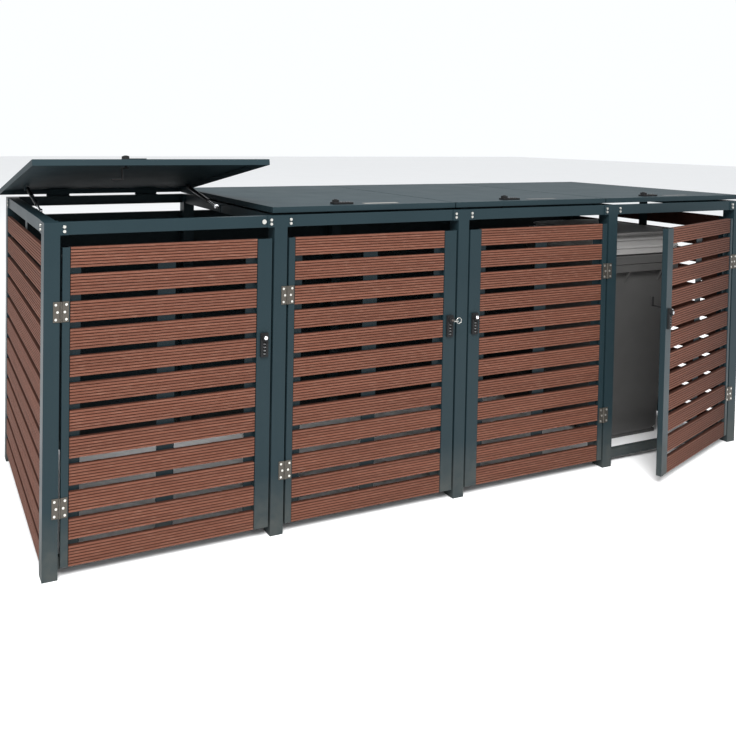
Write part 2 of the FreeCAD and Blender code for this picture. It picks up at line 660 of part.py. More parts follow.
def key(at):
    """Key in door 2's knob, with a split ring through its bow."""
    face = "lock_height + knob_gap + knob_height + 1"
    blade = at.box("key_blade", (-1, -3.5, face), (2, 7, 8))
    bow = at.box("key_bow", (-1, -10, f"{face} + 8"), (2, 20, 16))
    hole = at.shaft("key_bow_hole", (-2, 6, f"{face} + 18"), 2.5, 4)
    plate = cut("key", fuse("key_blank", [blade, bow]), hole)
    ring = doc.addObject("Part::Torus", "key_ring")
    bind(ring, Radius1=11, Radius2=1)
    x, y, z = at.origin
    place(ring, f"{x} + 6 + 11 - 1.2", f"{y} - ({face} + 18)", z)
    ring.Placement.Rotation = FreeCAD.Rotation(FreeCAD.Vector(1, 0, 0), 90)
    return [plate, ring]


def build_doors():
    leaves = []
    for index in range(1, BAYS + 1):
        axis_x, side = door(index)
        for level in ("hinge_low", "hinge_high"):
            label = f"door_{index}_{level}_post_leaf"
            things = [barrels(label, (0, 2, 4), level, -side, "knuckle_radius", "pin_radius", True)]
            things += screws(label + "_screw", level, -side)
            for thing in things:
                shift(thing, axis_x, FRONT)
            leaves += things
    node("post_hinge_leaves", leaves)


def shift(thing, x, y):
    """Move a finished piece by a formula, keeping what it is made of."""
    old = dict(thing.ExpressionEngine)
    for letter, text in (("x", x), ("y", y)):
        path = f"Placement.Base.{letter}"
        before = old.get("." + path, old.get(path, "0"))
        thing.setExpression(path, f"({before}) + ({formula(text)})")


# Lids ----------------------------------------------------------------------------------


def lid_hinge(label, centre_x, lid_side):
    """Half of a lid hinge about the axis Y = Z = 0: the lid's half has the middle barrel."""
    third = "lid_hinge_length / 3"
    start = f"{centre_x} - lid_hinge_length / 2"
    steps = (1,) if lid_side else (0, 2)
    things = []
    lip = "(-lid_hinge_setback - 2)"
    for step in steps:
        x = f"{start} + {step} * {third} + 2 * pin_play"
        wide = f"{third} - 4 * pin_play"
        things.append(rod(f"{label}_barrel_{step}", "X", (x, 0, 0), "lid_knuckle_radius", wide))
        if lid_side:
            things.append(box(f"{label}_web", (x, lip, 0), (wide, "lid_hinge_setback + 2", "sheet_gauge")))
        else:
            foot = "(-lid_hinge_rise)"
            things.append(box(f"{label}_web_{step}", (x, -18, foot), (wide, 18, "sheet_gauge")))
    if lid_side:
        things.append(box(f"{label}_leaf", (start, lip, 0), ("lid_hinge_length", "sheet_gauge", LID_TOP)))
        bore = rod(label + "_bore", "X", (start, 0, 0), "lid_pin_radius + pin_play", "lid_hinge_length")
        return cut(label, fuse(label + "_blank", things), bore)
    things.append(box(f"{label}_leaf", (start, -18, foot), ("lid_hinge_length", 12, "sheet_gauge")))
    for step in steps:
        x = f"{start} + {step} * {third} + 2 * pin_play"
        things.append(box(f"{label}_riser_{step}", (x, -1, foot), (wide, 2, "lid_hinge_rise")))
    things.append(rod(label + "_pin", "X", (start, 0, 0), "lid_pin_radius", "lid_hinge_length"))
    return fuse(label, things)


def lid(index):
    """A lid in its own frame: the hinge axis is the X axis, and the bay's centre is X = 0."""
    name = f"lid_{index + 1}"
    left = "(bay_pitch - lid_gap) / 2 + lid_shift"
    right = "(bay_pitch - lid_gap) / 2 - lid_shift"
    if index == 0:
        left = "(bay_pitch + post_width) / 2 + lid_overhang"
    if index == BAYS - 1:
        right = "(bay_pitch + post_width) / 2"
    rear = "(-lid_hinge_setback - 2)"
    depth = f"(frame_depth - lid_setback - lid_hinge_setback + {rear})"
    base = "(lid_lift - lid_hinge_rise)"
    tray = channel(name + "_tray", (f"-({left})", f"{rear} - {depth}", base),
                   (f"({left}) + ({right})", depth, "lid_lip"), ("-Z",))
    knob_y = f"({rear} - {depth} + lid_lock_setback)"
    hole = rod(name + "_spindle_hole", "Z", ("-lid_lock_offset", knob_y, f"{LID_TOP} - 2 * sheet_gauge"),
               "spindle_radius + 2", "3 * sheet_gauge")
    at = Facing("lid", "-lid_lock_offset", knob_y, LID_TOP)
    things = [cut(name + "_panel", tray, hole), lock_housing(name + "_lock_housing", at)]
    for side in (-1, 1):
        things.append(lid_hinge(f"{name}_hinge_{side + 1}", f"{side} * lid_hinge_spread", True))
        things.append(lid_bracket(f"{name}_bracket_{side + 1}", side))
    nodes = [
        node(name, things),
        node(name + "_lock_knob", lock_knob(name + "_knob", at)),
        node(name + "_lock_dials", [lock_dials(name + "_dials", at)]),
    ]
    for thing in nodes:
        place(thing, bay_x(index), LID_AXIS_Y, LID_AXIS_Z)
        if index == 0:
            turn(thing, (1, 0, 0), "-lid_1_ajar")


def strut_x(side):
    offset = "strut_offset_left" if side < 0 else "strut_offset_right"
    return f"({side} * (bay_pitch / 2 - {offset}))"


def lid_bracket(label, side):
    """Angle under the lid with the stud that carries a strut's upper end."""
    x = strut_x(side)
    near = f"{x} + {side} * (strut_radius + 0.5 + bracket_gauge / 2)"
    plate = box(label + "_plate", (f"{near} - bracket_gauge / 2", "-strut_arm - 14", "strut_arm_rise - 7"),
                ("bracket_gauge", 28, f"{LID_TOP} - sheet_gauge - strut_arm_rise + 7"))
    foot_x = f"{near} - bracket_gauge / 2" if side < 0 else f"{near} + bracket_gauge / 2 - 16"
    foot = box(label + "_foot", (foot_x, "-strut_arm - 14", f"{LID_TOP} - 2 * sheet_gauge"),
               (16, 28, "sheet_gauge"))
    reach = "(strut_radius + 0.5 + bracket_gauge / 2 + eye_width / 2 + 1)"
    stud_x = near if side < 0 else f"{near} - {reach}"
    stud = rod(label + "_stud", "X", (stud_x, "-strut_arm", "strut_arm_rise"), "stud_radius", reach)
    return fuse(label, [plate, foot, stud])


def strut_geometry(angle):
    """Upper pivot from the lower one in the YZ plane, as formulas of the lid's angle."""
    low_y = "(lid_hinge_setback - strut_low_setback)"
    low_z = "(-lid_hinge_rise - strut_low_drop)"
    y = f"(-strut_arm * cos({angle}) + strut_arm_rise * sin({angle}))"
    z = f"(strut_arm * sin({angle}) + strut_arm_rise * cos({angle}))"
    rise = f"({z} - {low_z})"
    run = f"({y} - {low_y})"
    return y, z, f"atan2({rise}; {run})", f"sqrt({rise} * {rise} + {run} * {run})"


def struts(index):
    """A pair of gas struts. They are drawn along -Y from the upper pivot, then turned."""
    angle = "lid_1_ajar * 1 deg" if index == 0 else "0 deg"
    y, z, slope, length = strut_geometry(angle)
    cylinders, rods = [], []
    for side in (-1, 1):
        x = strut_x(side)
        name = f"strut_{index + 1}_{side + 1}"
        tube = fuse(name + "_cylinder_blank", [
            rod(name + "_eye", "X", (f"{x} - eye_width / 2", 0, 0), "strut_radius", "eye_width"),
            rod(name + "_barrel", "Y", (x, "-strut_length", 0), "strut_radius", "strut_length - 7"),
        ])
        holes = fuse(name + "_cylinder_bores", [
            rod(name + "_eye_bore", "X", (f"{x} - eye_width", 0, 0),
                "stud_radius + pin_play", "2 * eye_width"),
            rod(name + "_rod_bore", "Y", (x, "-strut_length - 1", 0),
                "rod_radius + pin_play", "strut_length - 14"),
        ])
        cylinders.append(cut(name + "_cylinder", tube, holes))
        stud_x = f"{x} - eye_width / 2" if side > 0 else f"{x} - strut_clear + 0.3"
        stud = rod(name + "_low_stud", "X", (stud_x, f"-{length}", 0), "stud_radius",
                   "strut_clear - 0.3 + eye_width / 2")
        rods.append(fuse(name + "_rod", [
            rod(name + "_low_eye", "X", (f"{x} - eye_width / 2", f"-{length}", 0),
                "strut_radius", "eye_width"),
            rod(name + "_bar", "Y", (x, f"-{length}", 0), "rod_radius", "rod_length"),
            stud,
        ]))
    pair = (node(f"strut_cylinders_{index + 1}", cylinders), node(f"strut_rods_{index + 1}", rods))
    for thing in pair:
        place(thing, bay_x(index), f"{LID_AXIS_Y} + {y}", f"{LID_AXIS_Z} + {z}")
        turn(thing, (1, 0, 0), slope)


def frame_bracket(index, side):
    """Plate beside a strut's lower end, held off the cross rail by a shelf where it has to be."""
    name = f"strut_bracket_{index + 1}_{side + 1}"
    face = f"({bay_x(index)} + {strut_x(side)} + {side} * strut_clear)"
    rail = f"({bay_x(index)} + {side} * (bay_pitch / 2 - cross_half))"
    y = f"{REAR} - strut_low_setback - 16"
    plate = box(name + "_plate", (face if side > 0 else f"{face} - bracket_gauge", y,
                                  "frame_height - rail_height + 8"),
                ("bracket_gauge", 32, "rail_height - 8"))
    if side < 0:
        return plate
    shelf = box(name + "_shelf", (face, y, "frame_height - bracket_gauge"),
                (f"{rail} - {face}", 32, "bracket_gauge"))
    return fuse(name, [plate, shelf])


def build_lids():
    hinges, brackets = [], []
    for index in range(BAYS):
        lid(index)
        struts(index)
        for side in (-1, 1):
            label = f"lid_{index + 1}_frame_hinge_{side + 1}"
            half = lid_hinge(label, f"{side} * lid_hinge_spread", False)
            place(half, bay_x(index), LID_AXIS_Y, LID_AXIS_Z)
            hinges.append(half)
            brackets.append(frame_bracket(index, side))
    node("lid_hinge_frame_halves", hinges)
    node("strut_brackets", brackets)


# Bin -----------------------------------------------------------------------------------


def taper(label, x, front, base, top, base_size, top_size):
    """A box that tapers up or down; x is its middle and front the front edge of its top."""
    thing = doc.addObject("Part::Wedge", label)
    inset = f"({top_size[1]} - ({base_size[1]})) / 2"
    bind(
        thing,
        Xmin=f"-({base_size[0]}) / 2", Xmax=f"({base_size[0]}) / 2",
        X2min=f"-({top_size[0]}) / 2", X2max=f"({top_size[0]}) / 2",
        Ymin=0, Ymax=f"{top} - ({base})",
        Zmin=f"-({inset}) - ({base_size[1]})", Zmax=f"-({inset})",
        Z2min=f"-({top_size[1]})", Z2max=0,
    )
    thing.Placement.Rotation = FreeCAD.Rotation(FreeCAD.Vector(1, 0, 0), 90)
    place(thing, x, front, base)
    return thing


def build_bin():
    x = f"({bay_x(BAYS - 1)} + bin_offset)"
    front = f"({FRONT} + bin_front)"
    rear = f"({front} + bin_rim_depth)"
    skin = "2 * bin_wall"
    shell = taper("bin_shell", x, front, "bin_base_height", "bin_rim_height",
                  ("bin_base_width", "bin_base_depth"), ("bin_rim_width", "bin_rim_depth"))
    hollow = taper("bin_hollow", x, f"{front} + bin_wall", "bin_base_height + bin_wall", "bin_rim_height",
                   (f"bin_base_width - {skin}", f"bin_base_depth - {skin}"),
                   (f"bin_rim_width - {skin}", f"bin_rim_depth - {skin}"))
    rim = box("bin_rim", (f"{x} - bin_rim_width / 2 - bin_rim_lip", f"{front} - bin_rim_lip",
                          "bin_rim_height - bin_rim_band"),
              ("bin_rim_width + 2 * bin_rim_lip", "bin_rim_depth + 2 * bin_rim_lip", "bin_rim_band"))
    feet = box("bin_feet", (f"{x} - bin_base_width / 2 + bin_foot_inset", f"{front} + bin_foot_setback", 0),
               ("bin_base_width - 2 * bin_foot_inset", "bin_foot_depth", "bin_base_height + 2"))
    axle_y = f"({front} + wheel_back)"
    grip_y = f"({rear} + grip_setback)"
    grip_z = "(bin_rim_height + grip_rise)"
    axle_lug_y = f"({front} + (bin_rim_depth + bin_base_depth) / 2 + axle_lug_setback)"
    lugs = []
    for side in (-1, 1):
        lugs.append(box(
            f"bin_axle_lug_{side + 1}",
            (f"{x} + {side} * axle_lug_spread - axle_lug_width / 2", axle_lug_y,
             "wheel_radius - axle_lug_reach"),
            ("axle_lug_width", f"{axle_y} + axle_lug_reach - {axle_lug_y}", "2 * axle_lug_reach")))
        lugs.append(box(
            f"bin_grip_lug_{side + 1}",
            (f"{x} + {side} * grip_length / 2 - grip_lug_width / 2", f"{rear} + bin_rim_lip - 1",
             "bin_rim_height - bin_rim_band / 2"),
            ("grip_lug_width", "grip_setback + grip_lug_reach + 1 - bin_rim_lip",
             "bin_rim_band / 2 + grip_rise + grip_lug_reach")))
    grip = rod("bin_grip", "X", (f"{x} - grip_length / 2", grip_y, grip_z), "grip_radius", "grip_length")
    body = fuse("bin_tub", [cut("bin_walls", fuse("bin_outside", [shell, rim]), hollow), feet, grip] + lugs)
    axle_hole = rod("bin_axle_hole", "X", (f"{x} - wheel_track", axle_y, "wheel_radius"),
                    "axle_radius + pin_play", "2 * wheel_track")
    node("bin_body", [cut("bin_body_tub", body, axle_hole)])

    cover = taper("bin_cover", x, f"{front} + cover_draft",
                  "bin_rim_height + cover_gap", "bin_rim_height + bin_lid_height",
                  ("bin_rim_width + 2 * cover_side", "bin_rim_depth + 2 * cover_end"),
                  ("bin_rim_width - 2 * cover_draft", "bin_rim_depth - 2 * cover_draft"))
    inside = taper("bin_cover_inside", x, f"{front} + cover_draft + cover_wall",
                   "bin_rim_height - 1", "bin_rim_height + bin_lid_height - cover_wall",
                   ("bin_rim_width + 2 * cover_side - 2 * cover_wall",
                    "bin_rim_depth + 2 * cover_end - 2 * cover_wall"),
                   ("bin_rim_width - 2 * cover_draft - 2 * cover_wall",
                    "bin_rim_depth - 2 * cover_draft - 2 * cover_wall"))
    lid_parts = [cut("bin_cover_shell", cover, inside)]
    for side in (-1, 1):
        arm_x = f"{x} + {side} * cover_arm_spread - cover_arm_width / 2"
        lid_parts.append(box(f"bin_lid_arm_{side + 1}",
                             (arm_x, f"{rear} - cover_wall", f"{grip_z} - cover_arm_height / 2"),
                             ("cover_arm_width", "grip_setback + cover_wall", "cover_arm_height")))
        lid_parts.append(rod(f"bin_lid_sleeve_{side + 1}", "X", (arm_x, grip_y, grip_z),
                             "grip_radius + bin_wall", "cover_arm_width"))
    grip_bore = rod("bin_lid_sleeve_bore", "X", (f"{x} - grip_length / 2", grip_y, grip_z),
                    "grip_radius + pin_play", "grip_length")
    node("bin_lid", [cut("bin_lid_cover", fuse("bin_lid_blank", lid_parts), grip_bore)])

    wheels = []
    for side in (-1, 1):
        rim_x = f"{x} + {side} * wheel_track - wheel_width / 2"
        tyre = rod(f"bin_wheel_blank_{side + 1}", "X", (rim_x, axle_y, "wheel_radius"),
                   "wheel_radius", "wheel_width")
        hole = rod(f"bin_wheel_hole_{side + 1}", "X", (f"{rim_x} - 1", axle_y, "wheel_radius"),
                   "axle_radius + pin_play", "wheel_width + 2")
        wheels.append(cut(f"bin_wheel_{side + 1}", tyre, hole))
    node("bin_wheels", wheels)
    axle_start = (f"{x} - wheel_track - wheel_width / 2 - axle_end", axle_y, "wheel_radius")
    node("bin_axle", [rod("bin_axle_bar", "X", axle_start, "axle_radius",
                          "2 * wheel_track + wheel_width + 2 * axle_end")])


build_frame()
build_doors()
build_lids()
build_bin()
doc.recompute()

for thing in doc.Objects:
    if {"Invalid", "Error"} & set(thing.State):
        raise RuntimeError(f"{thing.Label} failed: {thing.State}")
for thing in NODES:
    if thing.Shape.isNull() or not thing.Shape.isValid() or not thing.Shape.Solids:
        raise RuntimeError(f"{thing.Label} has no valid shape")

os.makedirs("parts", exist_ok=True)
for thing in NODES:
    thing.Shape.exportStep(f"parts/{thing.Label}.step")
    size = thing.Shape.BoundBox
    print(f"{thing.Label}: {len(thing.Shape.Solids)} solids, {thing.Shape.Volume / 1e6:.3f} dm3,",
          f"X {size.XMin:.1f}..{size.XMax:.1f} Y {size.YMin:.1f}..{size.YMax:.1f}",
          f"Z {size.ZMin:.1f}..{size.ZMax:.1f}")
print(len(NODES), "sub-parts")
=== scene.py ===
"""Looks of the four-bay bin station: paint, slats, locks, labels and the wheeled bin.

Metres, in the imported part's frame: +X along the bays, doors towards -Y, +Z up.
"""
import json
import math

import bmesh
import bpy
from mathutils import Matrix, Vector


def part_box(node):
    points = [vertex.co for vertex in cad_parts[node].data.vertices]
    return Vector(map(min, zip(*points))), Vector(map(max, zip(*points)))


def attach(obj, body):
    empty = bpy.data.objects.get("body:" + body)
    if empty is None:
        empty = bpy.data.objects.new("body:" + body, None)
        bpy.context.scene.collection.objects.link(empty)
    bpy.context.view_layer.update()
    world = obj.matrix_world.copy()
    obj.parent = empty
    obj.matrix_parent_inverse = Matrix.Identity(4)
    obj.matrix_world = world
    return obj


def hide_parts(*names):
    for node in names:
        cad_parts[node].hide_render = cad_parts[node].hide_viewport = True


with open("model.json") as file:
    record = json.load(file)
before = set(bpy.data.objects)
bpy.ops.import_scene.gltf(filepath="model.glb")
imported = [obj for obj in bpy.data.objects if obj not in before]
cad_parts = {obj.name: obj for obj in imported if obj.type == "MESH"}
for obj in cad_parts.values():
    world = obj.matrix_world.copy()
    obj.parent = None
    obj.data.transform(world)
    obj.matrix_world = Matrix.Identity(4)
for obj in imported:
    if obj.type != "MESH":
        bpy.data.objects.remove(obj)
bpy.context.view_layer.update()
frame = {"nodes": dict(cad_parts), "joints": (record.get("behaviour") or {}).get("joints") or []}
NODES = frame["nodes"]
JOINTS = {joint["name"]: joint for joint in frame["joints"]}
BAYS = 4
SLAT_THICKNESS = 0.014
GROOVE_DEPTH = 0.0022


# Shader values --------------------------------------------------------------------------


class Wire:
    """A shader value that can be used in sums."""

    def __init__(self, paint, socket):
        self.paint = paint
        self.socket = socket

    def sum(self, operation, first, second):
        return self.paint.node("ShaderNodeMath", {"operation": operation},
                               {0: first, 1: second})[0]

    def __add__(self, other):
        return self.sum("ADD", self, other)

    def __radd__(self, other):
        return self.sum("ADD", other, self)

    def __sub__(self, other):
        return self.sum("SUBTRACT", self, other)

    def __rsub__(self, other):
        return self.sum("SUBTRACT", other, self)

    def __mul__(self, other):
        return self.sum("MULTIPLY", self, other)

    def __rmul__(self, other):
        return self.sum("MULTIPLY", other, self)

    def clamp(self, low, high):
        return self.sum("MINIMUM", self.sum("MAXIMUM", self, low), high)


class Paint:
    """A material under construction; node() adds a node and returns its outputs."""

    def __init__(self, name, slot):
        self.material = bpy.data.materials.new(name)
        self.material["slot"] = slot
        self.material.use_nodes = True
        self.tree = self.material.node_tree
        self.surface = self.tree.nodes["Principled BSDF"].inputs

    def node(self, kind, settings=None, inputs=None):
        made = self.tree.nodes.new(kind)
        for name, value in (settings or {}).items():
            setattr(made, name, value)
        for name, value in (inputs or {}).items():
            self.plug(made.inputs[name], value)
        return [Wire(self, socket) for socket in made.outputs]

    def plug(self, socket, value):
        if isinstance(value, Wire):
            self.tree.links.new(value.socket, socket)
        else:
            socket.default_value = value

    def place(self):
        return self.node("ShaderNodeTexCoord")[3]

    def stretched(self, scale, turn):
        """Position, turned about +Z and then scaled along each axis."""
        turned = self.node("ShaderNodeVectorRotate", {"rotation_type": "Z_AXIS"},
                           {"Vector": self.place(), "Angle": turn})[0]
        return self.node("ShaderNodeVectorMath", {"operation": "MULTIPLY"},
                         {0: turned, 1: scale})[0]

    def noise(self, where, scale, detail=4.0, roughness=0.55):
        """Cloudy value between about 0.2 and 0.8."""
        return self.node("ShaderNodeTexNoise", None, {
            "Vector": where, "Scale": scale, "Detail": detail, "Roughness": roughness})[0]

    def blend(self, share, first, second):
        mix = self.tree.nodes.new("ShaderNodeMix")
        mix.data_type = "RGBA"
        self.plug(mix.inputs[0], share)
        self.plug(mix.inputs[6], first)
        self.plug(mix.inputs[7], second)
        return Wire(self, mix.outputs[2])

    def height(self):
        return self.node("ShaderNodeSeparateXYZ", None, {0: self.place()})[2]

    def bump(self, height, distance, strength):
        self.plug(self.surface["Normal"], self.node("ShaderNodeBump", None, {
            "Height": height, "Distance": distance, "Strength": strength})[0])


def powder_coat(name, roughness=0.33, shade=1.0):
    """Dark blue-grey powder coat with a fine orange peel and dust near the ground; a shade below 1
    darkens it towards black as painted shade.
    """
    paint = Paint(name, "frame")
    where = paint.place()
    cloud = paint.noise(where, 3.0)
    dust = ((0.22 - paint.height()) * 2.2).clamp(0.0, 0.35) * paint.noise(where, 26.0)
    tone = paint.blend(cloud, (0.0075, 0.0165, 0.0205, 1), (0.011, 0.022, 0.0265, 1))
    dusty = paint.blend(dust, tone, (0.13, 0.12, 0.10, 1))
    # A shade below 1 blends the coat towards near-black: painted shade.
    paint.plug(paint.surface["Base Color"], paint.blend(shade, (0.002, 0.002, 0.002, 1), dusty))
    paint.plug(paint.surface["Roughness"], roughness + 0.12 * paint.noise(where, 8.0) + dust)
    paint.surface["Specular IOR Level"].default_value = 0.12
    paint.bump(paint.noise(where, 900.0, 2.0), 0.0001, 0.35)
    return paint.material


def composite(node, turn):
    """Grooved wood composite: red-brown, streaked along the slat, each slat its own tone,
    with painted shade in the grooves. turn is the angle of the node's slats about +Z."""
    paint = Paint("composite_" + node, "slats")
    outward = Vector((math.sin(turn), -math.cos(turn), 0.0))
    face = max(outward.dot(vertex.co) for vertex in NODES[node].data.vertices)
    distance = paint.node("ShaderNodeVectorMath", {"operation": "DOT_PRODUCT"},
                          {0: paint.place(), 1: outward})[1]
    groove_painted_shade = ((face - distance) * (1.0 / GROOVE_DEPTH)).clamp(0.0, 1.0)
    streak = paint.noise(paint.stretched((2.5, 60.0, 160.0), -turn), 1.0, 6.0)
    fleck = paint.noise(paint.stretched((30.0, 200.0, 420.0), -turn), 1.0, 3.0)
    island = paint.node("ShaderNodeNewGeometry")[8]
    dark = paint.blend(island, (0.066, 0.024, 0.015, 1), (0.083, 0.030, 0.018, 1))
    light = paint.blend(island, (0.120, 0.047, 0.030, 1), (0.142, 0.056, 0.036, 1))
    tone = paint.blend((streak * 1.7 - 0.35).clamp(0.0, 1.0), dark, light)
    tone = paint.blend((fleck * 2.4 - 1.25).clamp(0.0, 0.4), tone, (0.19, 0.10, 0.072, 1))
    # Painted shade: the tone blends up to three quarters of the way to near-black down in each
    # groove.
    paint.plug(paint.surface["Base Color"],
               paint.blend(groove_painted_shade * 0.75, tone, (0.018, 0.006, 0.004, 1)))
    paint.plug(paint.surface["Roughness"], 0.62 + 0.2 * fleck)
    paint.surface["Specular IOR Level"].default_value = 0.12
    paint.bump(fleck + streak, 0.0004, 0.6)
    return paint.material


def plain(name, slot, dark, light, metallic, roughness, grain, depth, specular=0.3):
    """A finish whose tone and roughness drift a little, with a grain on its surface."""
    paint = Paint(name, slot)
    where = paint.place()
    cloud = paint.noise(where, 14.0)
    fine = paint.noise(where, grain, 3.0)
    paint.plug(paint.surface["Base Color"], paint.blend(cloud * 0.6 + fine * 0.4, dark, light))
    paint.plug(paint.surface["Roughness"], roughness - 0.08 + 0.2 * fine)
    paint.surface["Metallic"].default_value = metallic
    paint.surface["Specular IOR Level"].default_value = specular
    paint.bump(fine, depth, 0.5)
    return paint.material


FRAME_PAINT = powder_coat("powder_coat")
LID_PAINT = powder_coat("lid_powder_coat", 0.5)
# Rear panels: the frame's coat blended 40 percent towards near-black, painted shade for the station's
# inside.
PANEL_COAT_WITH_PAINTED_SHADE = powder_coat("panel_powder_coat_painted_shade", 0.5, 0.6)
LEAF = plain("stainless_leaf", "hardware", (0.050, 0.045, 0.038, 1), (0.090, 0.082, 0.070, 1),
             0.7, 0.42, 700, 0.0001)
ZINC = plain("bright_zinc", "hardware", (0.42, 0.41, 0.38, 1), (0.68, 0.67, 0.63, 1),
             0.95, 0.34, 700, 0.0001)
LOCK_BLACK = plain("lock_black", "lock", (0.006, 0.006, 0.0065, 1), (0.014, 0.014, 0.0145, 1),
                   0.0, 0.6, 1200, 0.0001, 0.12)
STRUT_BLACK = plain("strut_black", "strut_black", (0.006, 0.006, 0.007, 1), (0.014, 0.014, 0.015, 1),
                    0.0, 0.25, 600, 0.00005)
ROD_CHROME = plain("rod_chrome", "strut_rod", (0.62, 0.63, 0.65, 1), (0.8, 0.8, 0.82, 1),
                   1.0, 0.16, 500, 0.00003)
BIN_GREY = plain("bin_grey", "bin_tub", (0.047, 0.046, 0.045, 1), (0.068, 0.067, 0.065, 1),
                 0.0, 0.52, 500, 0.0003)
LID_GREY = plain("bin_lid_grey", "bin_cover", (0.27, 0.265, 0.26, 1), (0.35, 0.34, 0.33, 1),
                 0.0, 0.5, 500, 0.0003)
TYRE = plain("tyre", "tyre", (0.010, 0.010, 0.010, 1), (0.026, 0.025, 0.024, 1),
             0.0, 0.7, 300, 0.0004)
MARK = plain("wheel_mark", "lock", (0.30, 0.30, 0.30, 1), (0.40, 0.40, 0.40, 1),
             0.0, 0.5, 500, 0.00002)
LABEL = plain("label_plate", "hardware", (0.13, 0.125, 0.115, 1), (0.18, 0.175, 0.16, 1),
              0.2, 0.5, 500, 0.00005)
DARK_LABEL = plain("dark_label_plate", "hardware", (0.03, 0.03, 0.03, 1), (0.06, 0.06, 0.06, 1),
                   0.1, 0.45, 500, 0.00005)


# CAD pieces -----------------------------------------------------------------------------

WELD = 0.00002
BEVEL_SEGMENTS = 2
SHARP_ANGLE = math.radians(35)
HOUSING_LENGTHS = (0.075, 0.09)
SCREW_REACH = 0.009
CAM_REACH = 0.024
LEAST_AJAR = 0.02


def soften(piece, width):
    """Joins the mesh's split corners and rounds its edges."""
    for name in ("custom_normal", "sharp_edge"):
        if name in piece.data.attributes:
            piece.data.attributes.remove(piece.data.attributes[name])
    piece.data.shade_smooth()
    weld = piece.modifiers.new("weld", "WELD")
    weld.merge_threshold = WELD
    bevel = piece.modifiers.new("bevel", "BEVEL")
    bevel.width = width
    bevel.segments = BEVEL_SEGMENTS
    bevel.limit_method = "ANGLE"
    bevel.angle_limit = SHARP_ANGLE
    bevel.harden_normals = True
    bevel.use_clamp_overlap = True


def shells(mesh):
    """The faces of each closed shell of a mesh, with the shell's size."""
    keys = [tuple(round(c, 5) for c in vertex.co) for vertex in mesh.vertices]
    parent = {key: key for key in keys}

    def root(key):
        while parent[key] != key:
            parent[key] = parent[parent[key]]
            key = parent[key]
        return key

    for face in mesh.polygons:
        first = root(keys[face.vertices[0]])
        for index in face.vertices[1:]:
            parent[root(keys[index])] = first
    groups = {}
    for face in mesh.polygons:
        groups.setdefault(root(keys[face.vertices[0]]), []).append(face)
    for faces in groups.values():
        points = [keys[index] for face in faces for index in face.vertices]
        yield faces, [max(p[axis] for p in points) - min(p[axis] for p in points)
                      for axis in range(3)]


def finish_with(node, material, width, *others):
    """Gives a node one finish, and another to the shells whose size each (pick, finish) accepts."""
    piece = NODES[node]
    piece.data.materials.clear()
    piece.data.materials.append(material)
    for face in piece.data.polygons:
        face.material_index = 0
    for index, (pick, finish) in enumerate(others, start=1):
        piece.data.materials.append(finish)
        for faces, size in shells(piece.data):
            if pick(size):
                for face in faces:
                    face.material_index = index
    soften(piece, width)


def is_lock_housing(size):
    return HOUSING_LENGTHS[0] < max(size) < HOUSING_LENGTHS[1]


def is_screw(size):
    return max(size) < SCREW_REACH


def is_cam(size):
    """The cam's plates are smaller than the knob with its spindle, in every direction but one."""
    return sorted(size)[1] < CAM_REACH


def door_angle(bay):
    """How far a door stands open at rest, from the two ends of its slats."""
    low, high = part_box(f"door_{bay}_slats")
    deep = (high.y - low.y) - SLAT_THICKNESS
    return math.atan2(deep, high.x - low.x) if deep > LEAST_AJAR else 0.0


def dress_cad():
    for node in ("front_posts", "rear_posts", "front_rails", "rear_rails", "cross_rails",
                 "bottom_rails", "side_straps", "lid_hinge_frame_halves", "strut_brackets"):
        finish_with(node, FRAME_PAINT, 0.0012)
    # Rear panels take the darkened coat, painted shade for the inside.
    finish_with("rear_panels", PANEL_COAT_WITH_PAINTED_SHADE, 0.0012)
    finish_with("frame_bolts", ZINC, 0.0015)
    finish_with("post_hinge_leaves", LEAF, 0.0005, (is_screw, ZINC))
    for node, turn in (("left_side_slats", -90), ("right_side_slats", 90)):
        finish_with(node, composite(node, math.radians(turn)), 0.0005)
    for bay in range(1, BAYS + 1):
        door, lid = f"door_{bay}", f"lid_{bay}"
        finish_with(door + "_frame", FRAME_PAINT, 0.0012)
        finish_with(door + "_slats", composite(door + "_slats", door_angle(bay)), 0.0005)
        finish_with(door + "_fittings", LEAF, 0.0006,
                    (is_lock_housing, LOCK_BLACK), (is_screw, ZINC))
        finish_with(lid, LID_PAINT, 0.0008, (is_lock_housing, LOCK_BLACK))
        for name in (door, lid):
            finish_with(name + "_lock_knob", LOCK_BLACK, 0.0008, (is_cam, ZINC))
            finish_with(name + "_lock_dials", LOCK_BLACK, 0.0006)
        finish_with(f"strut_cylinders_{bay}", STRUT_BLACK, 0.0008)
        finish_with(f"strut_rods_{bay}", ROD_CHROME, 0.0006)
    finish_with("door_2_key", ZINC, 0.0004)
    finish_with("bin_wheels", TYRE, 0.006)
    finish_with("bin_axle", ZINC, 0.001)


# Made pieces ----------------------------------------------------------------------------


def solid(name, build, material, body, matrix=None, bevel=0.0):
    """Makes one mesh piece with build(bmesh), in place, riding on a body."""
    mesh = bpy.data.meshes.new(name)
    work = bmesh.new()
    build(work)
    bmesh.ops.recalc_face_normals(work, faces=work.faces)
    work.to_mesh(mesh)
    work.free()
    mesh.materials.append(material)
    piece = bpy.data.objects.new(name, mesh)
    bpy.context.scene.collection.objects.link(piece)
    if matrix is not None:
        mesh.transform(matrix)
    mesh.shade_smooth()
    if bevel:
        soften(piece, bevel)
    else:
        mesh.shade_flat()
    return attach(piece, body)


def block(work, low, high):
    """A box between two corners."""
    made = bmesh.ops.create_cube(work, size=1.0)["verts"]
    for vertex in made:
        vertex.co = Vector(low[a] + (vertex.co[a] + 0.5) * (high[a] - low[a]) for a in range(3))


